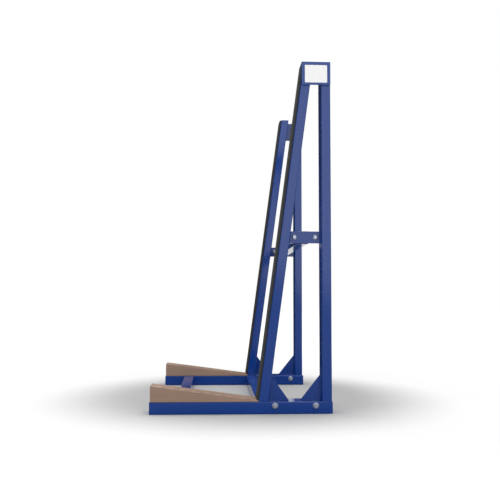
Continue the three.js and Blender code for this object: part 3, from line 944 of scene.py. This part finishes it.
wedge_low, wedge_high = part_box("right_timber_wedge")
wedge = add_block("timber_wedge", wedge_low, wedge_high)
bed = Vector(mounts["right_sheet_bed"]["axis"]).normalized()
saw(wedge, (wedge_low.x, 0, wedge_high.z), bed)
heel_height = wedge_high.z - LEAN_SLOPE * (wedge_high.x - wedge_low.x)
saw(wedge, (wedge_high.x, 0, heel_height), -leaning_face)
soften(wedge, WEDGE_EDGE)
for spot in SCREW_TURNS:
    low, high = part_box(f"right_wedge_{spot}_screw")
    hole = screw_form("hole", high.z - low.z, SCREW_FIT, SCREW_HEAD)
    set_screw(hole, low, high)
    combine(wedge, hole, "DIFFERENCE")
dress_pair(wedge, "timber_wedge", *TIMBER)

# %% [markdown]
# ## Wedge screws
# Each wedge is held by two countersunk screws. Only the heads can be seen, so the work goes into the
# heads: a cross recess made of two tapered cuts, and a softened rim.

# %% Wedge screws
RECESS_LENGTH = 0.0062
RECESS_WIDTH = 0.0013
RECESS_DEPTH = 0.0022
RECESS_TAPER = 0.45
SCREW_RIM = 0.00025

for spot, turn in SCREW_TURNS.items():
    low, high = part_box(f"right_wedge_{spot}_screw")
    screw = screw_form("screw", high.z - low.z, gap=0, headroom=0)
    for length, width, taper in (
        (RECESS_LENGTH, RECESS_WIDTH, (RECESS_TAPER, 1, 1)),
        (RECESS_WIDTH, RECESS_LENGTH, (1, RECESS_TAPER, 1)),
    ):
        corner = Vector((length / 2, width / 2, RECESS_DEPTH))
        cross = add_block("cross", -corner, corner)
        pick_facing(cross, DOWN)
        bpy.ops.transform.resize(value=taper)
        combine(screw, cross, "DIFFERENCE")
    soften(screw, SCREW_RIM, segments=2, angle=50)
    set_screw(screw, low, high, turn)
    dress_pair(screw, f"wedge_{spot}_screw", *ZINC)

# %% [markdown]
# ## Rubber strips
# A rubber strip on the face of each leaning rail keeps the sheets off the steel. Long grooves let it give
# a little. They are scored into the face with cuts and then pushed in, and the strip is tilted and cut
# level like the rail behind it.

# %% Rubber strips
RUBBER_THICKNESS = 0.009
RUBBER_CORNER = 0.002
RUBBER_EDGE = 0.0005
GROOVE_COUNT = 5
GROOVE_WIDTH = 0.005
GROOVE_DEPTH = 0.0015
GROOVE_STEP = 0.014

strip_low, strip_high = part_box("right_rubber_strip")
strip_middle = (strip_low.y + strip_high.y) / 2
strip = lean_blank(round_bar, strip_low, strip_high, RUBBER_THICKNESS, RUBBER_CORNER)
groove_middles = [strip_middle + (i - (GROOVE_COUNT - 1) / 2) * GROOVE_STEP for i in range(GROOVE_COUNT)]
for middle in groove_middles:
    for way in (-1, 1):
        score(strip, (0, middle + way * GROOVE_WIDTH / 2, 0), (0, 1, 0))
pick_facing(
    strip,
    FORWARD,
    lambda centre: any(abs(centre.y - middle) < GROOVE_WIDTH / 4 for middle in groove_middles),
)
draw_out(-FORWARD * GROOVE_DEPTH)
lean_back(strip, Vector((strip_low.x + RUBBER_THICKNESS * LEAN_STRETCH / 2, 0, strip_low.z)))
cut_level(strip, strip_low.z, strip_high.z)
soften(strip, RUBBER_EDGE, segments=2)
dress_pair(strip, "rubber_strip", *RUBBER)

# %% [markdown]
# ## Flange bolts
# A flange bolt is a hexagon on a round flange. The corners of a real hexagon are turned off at a slope,
# which leaves arcs on the flats: the hexagon is cut by a wide cone to get them. All sizes are shares of
# the thread's diameter.

# %% Hexagon heads
FLATS_RATIO = 1.5
FLANGE_RATIO = 2.15
RIM_RATIO = 0.25
FLANGE_ROUNDING = 0.125
SHOULDER_RATIO = 0.9
TURNED_TOP_RATIO = 0.94
HEX_SIDES = 6
ROUND_SIDES = 48
CHAMFER_RUN = 1 / math.tan(math.radians(30))


def hex_on_flange(name, thread, height):
    """A chamfered hexagon on a round flange that stands on the origin."""
    flat = FLATS_RATIO * thread / 2
    skirt = FLANGE_RATIO * thread / 2
    rim = RIM_RATIO * thread
    flange = add_cone(name, skirt, skirt, rim / 2, ROUND_SIDES)
    pick_facing(flange, UP)
    draw_out(UP * rim)
    shrink = SHOULDER_RATIO * flat / skirt
    bpy.ops.transform.resize(value=(shrink, shrink, 1))
    soften(flange, FLANGE_ROUNDING * rim, segments=2, angle=30)
    corner = flat / math.cos(math.pi / HEX_SIDES)
    hexagon = add_cone("hexagon", corner, corner, 2 * height, HEX_SIDES)
    raise_by(hexagon, rim / 2)
    top = TURNED_TOP_RATIO * flat
    turned = add_cone("turned", top + CHAMFER_RUN * height, top, height, ROUND_SIDES)
    combine(hexagon, turned, "INTERSECT")
    combine(flange, hexagon, "UNION")
    return flange


print("head maker ready")

# %% [markdown]
# ## Threads and shanks
# The thread is a circle set a little off its axis and wound up with the Screw modifier, which gives a
# true helix. A plain shank joins it to the head, whose top is dished by two insets.

# %% Flange bolts
HEAD_RATIO = 0.85
HEAD_TOP_SHARE = 0.9
DISH_RIM_RATIO = 0.12
DISH_DEPTH_RATIO = 0.05
NUT_RATIO = 1.0
OVERRUN_RATIO = 0.4
THREAD_RATIO = 0.9
SHANK_LAP_RATIO = 0.25
THREAD_STEPS = 20
THREAD_SIDES = 24
THREAD_OFFSET = 0.28
THREAD_PITCH = {BASE_BOLT: 0.00175, MID_BOLT: 0.0015}


def wound_thread(thread, start, length):
    """A threaded end along -Z, from a start depth on."""
    pitch = THREAD_PITCH[thread]
    offset = THREAD_OFFSET * pitch
    turns = math.ceil(length / pitch)
    focus(None)
    bpy.ops.mesh.primitive_circle_add(
        vertices=THREAD_SIDES, radius=thread / 2 - offset, location=(offset, 0, 0)
    )
    wound = take_up("thread")
    use_modifier(
        wound,
        "SCREW",
        axis="Z",
        angle=2 * math.pi * turns,
        screw_offset=-pitch * turns,
        steps=THREAD_STEPS * turns,
        render_steps=THREAD_STEPS * turns,
        use_merge_vertices=False,
    )
    close_ends(wound)
    raise_by(wound, start)
    return wound


def flange_bolt(name, thread, grip):
    """A flange bolt that bears at the origin, with its head above and its shank below."""
    head = HEAD_RATIO * thread
    bolt = hex_on_flange(name, thread, head)
    pick_facing(bolt, UP, lambda centre: centre.z > HEAD_TOP_SHARE * head)
    bpy.ops.mesh.inset(thickness=DISH_RIM_RATIO * thread)
    bpy.ops.mesh.inset(thickness=DISH_DEPTH_RATIO * thread, depth=-DISH_DEPTH_RATIO * thread)
    shank_end = grip + (NUT_RATIO + OVERRUN_RATIO) * thread
    plain = shank_end - THREAD_RATIO * thread
    shank = add_cone("shank", thread / 2, thread / 2, plain + SHANK_LAP_RATIO * thread, DRILL_SIDES)
    raise_by(shank, -plain)
    combine(bolt, shank, "UNION")
    thread_end = wound_thread(thread, -plain, THREAD_RATIO * thread)
    saw(thread_end, DOWN * shank_end, DOWN)
    focus(bolt)
    thread_end.select_set(True)
    bpy.ops.object.join()
    return bolt


print("bolt maker ready")

# %% [markdown]
# ## Flange nuts
# A nut is the same hexagon on a flange with a hole through it. Bolt and nut are modelled once for each
# thread and then copied to every place, each with a turn of its own, because nobody lines up bolt heads.

# %% Bolts and nuts in their places
TURN_STEP = math.radians(37)


def flange_nut(name, thread):
    """A flange nut that bears at the origin."""
    height = NUT_RATIO * thread
    nut = hex_on_flange(name, thread, height)
    drill(nut, UP * height / 2, thread + 2 * SCREW_FIT, 3 * height, NO_TURN)
    return nut


def set_in_place(pattern, node, place, out_way, turn):
    """Copies a pattern that stands along Z to a place, turned so that its Z looks along +Y or -Y."""
    made = copy_of(pattern, f"{node}_finished")
    facing = Matrix.Rotation(-out_way * QUARTER_TURN, 4, "X")
    made.matrix_world = Matrix.Translation(place) @ facing @ Matrix.Rotation(turn, 4, "Z")
    settle(made)
    dress(made, *ZINC, node)


turn = 0
for stem, thread in (("base", BASE_BOLT), ("middle", MID_BOLT)):
    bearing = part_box(f"right_front_{stem}_bolt")[0].y + HEAD_RATIO * thread
    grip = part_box(f"right_front_{stem}_nut")[0].y - bearing
    bolt = flange_bolt("bolt_pattern", thread, grip)
    nut = flange_nut("nut_pattern", thread)
    for side, out_way in (("right", -1), ("left", 1)):
        for end in ENDS:
            turn += TURN_STEP
            node = f"{side}_{end}_{stem}"
            axis = middle_of(f"{node}_bolt")
            seat = Vector((axis.x, -out_way * bearing, axis.z))
            set_in_place(bolt, f"{node}_bolt", seat, out_way, turn)
            seat = Vector((axis.x, -out_way * (bearing + grip), axis.z))
            set_in_place(nut, f"{node}_nut", seat, -out_way, 2 * turn)
    for pattern in (bolt, nut):
        bpy.data.objects.remove(pattern)

# %% [markdown]
# ## Spacer sleeves
# The sleeves around the base bolts are inside the rails, where nothing shows of them. The frame's own
# solids are right for them, so they stay and only get the zinc finish.

# %% Spacer sleeves
for side in ("right", "left"):
    for end in ENDS:
        sleeve = frame["nodes"][f"{side}_{end}_spacer_sleeve"]
        sleeve.data.materials.clear()
        sleeve.data.materials.append(bright_zinc)
        print(sleeve.name, "keeps its solid")

# %% [markdown]
# ## Weld beads
# The plates are welded to the posts, and the ties to their plates and rails. A bead is a row of ripples:
# one ripple is a ring drawn out twice, wide and narrow again, and an Array repeats it along the seam. Its
# middle lies on the seam, so that a quarter of it shows in a corner.

# %% Bead maker
RIPPLE = 0.0034
RIPPLE_SWELL = 1.12
RIPPLE_FIT = 0.05
BEAD_SIDES = 12


def add_bead(start, end, radius):
    """A weld bead along a seam."""
    way = Vector(end) - Vector(start)
    count = max(2, round(way.length / RIPPLE))
    step = way.length / count
    focus(None)
    bpy.ops.mesh.primitive_circle_add(vertices=BEAD_SIDES, radius=radius)
    bead = take_up("bead")
    pick_all(bead)
    for size in (RIPPLE_SWELL, 1 / RIPPLE_SWELL):
        draw_out(UP * step / 2)
        bpy.ops.transform.resize(value=(size, size, 1))
    use_modifier(
        bead,
        "ARRAY",
        count=count,
        use_relative_offset=False,
        use_constant_offset=True,
        constant_offset_displace=UP * step,
        use_merge_vertices=True,
        merge_threshold=RIPPLE_FIT * step,
    )
    close_ends(bead)
    bead.rotation_mode = "QUATERNION"
    bead.rotation_quaternion = way.to_track_quat("Z", "Y")
    bead.location = start
    settle(bead)
    return bead


def weld(stem, seams, radius):
    """Lays a bead on each seam, joins the beads into one piece and dresses it and its twin."""
    beads = [add_bead(start, end, radius) for start, end in seams]
    focus(beads[0])
    for bead in beads:
        bead.select_set(True)
    bpy.ops.object.join()
    dress_pair(beads[0], stem, *PAINT, in_frame=False)


print("bead maker ready")

# %% [markdown]
# ## Where the welds run
# The gussets are welded to the posts on both of their faces, the middle plate on its outer face and the
# top plate under its lower edge and behind it. The spreader is welded round to its end plates and the
# cross tubes to the inner sides of the base rails.

# %% Welds
PLATE_BEAD = 0.004
TUBE_BEAD = 0.002
BEAD_END = 0.004


def lean_rear_x(z):
    """X of the leaning rail's rear face at a height."""
    return lean_low.x + POST_FACE * LEAN_STRETCH + LEAN_SLOPE * (z - lean_low.z)


def seam_up(end, low_z, high_z, y):
    """A seam up the leaning rail's rear face or up the upright's front face."""
    return [(lean_rear_x(z) if end == "front" else post_low.x, y, z) for z in (low_z, high_z)]


def seam_across(low_x, high_x, y, z):
    """A level seam that stays clear of both ends."""
    return (low_x + BEAD_END, y, z), (high_x - BEAD_END, y, z)


def seams_beside(low, high):
    """Seams up both sides of a tie's right-hand end."""
    levels = (low.z + BEAD_END, high.z - BEAD_END)
    return [[(x, low.y, z) for z in levels] for x in (low.x, high.x)]


mid_low, mid_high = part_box("right_middle_plate")
top_low, top_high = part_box("right_top_plate")
seams = []
for end in ENDS:
    low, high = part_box(f"right_{end}_gusset")
    for y in (low.y, high.y):
        seams.append(seam_up(end, rail_high.z + BEAD_END, high.z - BEAD_END, y))
    seams.append(seam_up(end, mid_low.z + BEAD_END / 2, mid_high.z - BEAD_END / 2, mid_low.y))
    seams.append(seam_up(end, top_low.z + BEAD_END, top_high.z - BEAD_END, top_high.y + TUBE_BEAD / 2))
seams.append(seam_across(top_low.x, lean_rear_x(top_low.z), top_high.y, top_low.z))
seams.append(seam_across(post_low.x, post_high.x, top_high.y, top_low.z))
weld("side_frame_welds", seams, PLATE_BEAD)

tie_low, tie_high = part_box("middle_spreader")
seams = [seam_across(tie_low.x, tie_high.x, tie_low.y, z) for z in (tie_low.z, tie_high.z)]
for node in TIES:
    seams += seams_beside(*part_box(node))
weld("tie_welds", seams, TUBE_BEAD)

# %% [markdown]
# ## Floor, backdrop and light
# The rack stands on a plain grey floor that keeps its shadow. Around the rack the floor also carries a
# painted soft shadow. The floor has a light of its own, which is seen in the picture and in reflections
# but falls on nothing, and that light is held back near the rack's middle and comes up between about half
# a metre and a metre from it. So the grey fades softly into the white of the backdrop, without more light
# on the rack.

# %% Floor and backdrop
WHITE = (1, 1, 1, 1)
FLOOR_SIZE = 40
FLOOR_GREY = (0.42, 0.42, 0.42, 1.0)
# The next three settings place, shape and fade a painted soft shadow around the rack.
PAINTED_SHADOW_SHIFT = (-0.04, 0, 0)
PAINTED_SHADOW_STRETCH = (1, 0.93, 1)
NEAR_LIFT = {"low": 0.48, "high": 1.03, "to_high": 0.48}
FAR_LIFT = {"low": 0.9, "high": 3.2, "to_high": 0.30}
DOME_STRENGTH = 0.73
SEEN_STRENGTH = 1.0


def seen_directly(tree):
    """1 where a camera, mirror or glass ray looks, and 0 for light that falls on something."""
    path = put(tree, "LightPath").outputs
    mirrored_too = calculate(tree, "MAXIMUM", path["Is Camera Ray"], path["Is Glossy Ray"])
    return calculate(tree, "MAXIMUM", mirrored_too, path["Is Transmission Ray"])


grey_floor, tree, shader = start_finish("grey_floor")
tone = use_group(tree, uneven_tone, Colour=FLOOR_GREY, Cloud_size=0.7, Spread=0.02)
# The floor's own light grows with distance from the rack, so the grey near it is a painted shadow.
painted_shadow_patch = {"Vector": own_place(tree), "Location": PAINTED_SHADOW_SHIFT, "Scale": PAINTED_SHADOW_STRETCH}
centred = put(tree, "Mapping", painted_shadow_patch).outputs[0]
away = put(tree, "VectorMath", {0: centred}, operation="LENGTH").outputs["Value"]
lifts = [remap(tree, away, **lift, interpolation_type="SMOOTHSTEP") for lift in (NEAR_LIFT, FAR_LIFT)]
seen_lift = calculate(tree, "MULTIPLY", seen_directly(tree), calculate(tree, "ADD", *lifts))
set_inputs(
    shader,
    Base_Color=tone["Colour"],
    Roughness=0.9,
    Specular_IOR_Level=0.0,
    Emission_Color=WHITE,
    Emission_Strength=seen_lift,
)
focus(None)
bpy.ops.mesh.primitive_plane_add(size=FLOOR_SIZE, location=(0, 0, 0))
floor = take_up("floor")
floor.data.materials.append(grey_floor)

dome = bpy.data.worlds.new("white_dome")
dome.use_nodes = True
tree = dome.node_tree
span = SEEN_STRENGTH - DOME_STRENGTH
strength = calculate(tree, "MULTIPLY_ADD", seen_directly(tree), span, DOME_STRENGTH)
set_inputs(tree.nodes["Background"], Color=WHITE, Strength=strength)
bpy.context.scene.world = dome
print("floor", FLOOR_SIZE, "m wide")

# %% [markdown]
# ## Lamps
# Two large soft lamps do the rest. One hangs over the rack and draws the shadows under it. One stands
# behind the camera, above eye level, so that the upper part of the blue paint mirrors it and the lower
# part doesn't. Both are broad, because a small lamp would draw hard shadows on a plain floor.

# %% Lamps
OVERHEAD = {"place": (0, 0, 4.0), "aim": (0, 0, 0), "size": (3.0, 3.0), "power": 92, "tilt": 0}
FRONT = {"place": (0.9, -6.5, 2.73), "aim": (0.3, 0, 0.8), "size": (3.8, 4.0), "power": 114, "tilt": -20}


def add_lamp(name, place, aim, size, power, tilt):
    """A soft rectangular lamp that looks at a point, tilted by degrees about the way it looks."""
    lamp = bpy.data.lights.new(name, "AREA")
    lamp.shape = "RECTANGLE"
    lamp.size, lamp.size_y = size
    lamp.energy = power
    holder = bpy.data.objects.new(name, lamp)
    facing = (Vector(aim) - Vector(place)).to_track_quat("-Z", "Y").to_matrix().to_4x4()
    tilted = Matrix.Rotation(math.radians(tilt), 4, "Z")
    holder.matrix_world = Matrix.Translation(place) @ facing @ tilted
    holder.visible_camera = False
    bpy.context.scene.collection.objects.link(holder)
    print("lamp", name, power, "W")


add_lamp("overhead_lamp", **OVERHEAD)
add_lamp("front_lamp", **FRONT)

# %% [markdown]
# ## A dark card
# Glossy paint that is seen along its face mirrors what stands behind it. Before a white backdrop the
# narrow sides of the posts would turn as white as the backdrop, and the posts would look thinner than
# they are. A dark card out of the picture keeps such sides dark. Only mirrored rays see it, so it throws
# no shadow and takes no light away from the rack.

# %% Dark card
CARD_TONE = (0.03, 0.03, 0.03, 1.0)
CARD_LOW = (-0.33, 1.0, 0.0)
CARD_HIGH = (0.33, 1.01, 2.1)

dark_card, tree, shader = start_finish("dark_card")
set_inputs(shader, Base_Color=CARD_TONE, Specular_IOR_Level=0.0)
card = add_block("card", CARD_LOW, CARD_HIGH)
card.data.materials.append(dark_card)
card.visible_camera = False
card.visible_diffuse = False
card.visible_shadow = False
card.visible_transmission = False
print("card", CARD_HIGH[2], "m high")

# %% [markdown]
# ## Colours as written
# The Standard view shows a colour as it is set in a material, with no film curve over it.

bpy.context.scene.view_settings.view_transform = "Standard"
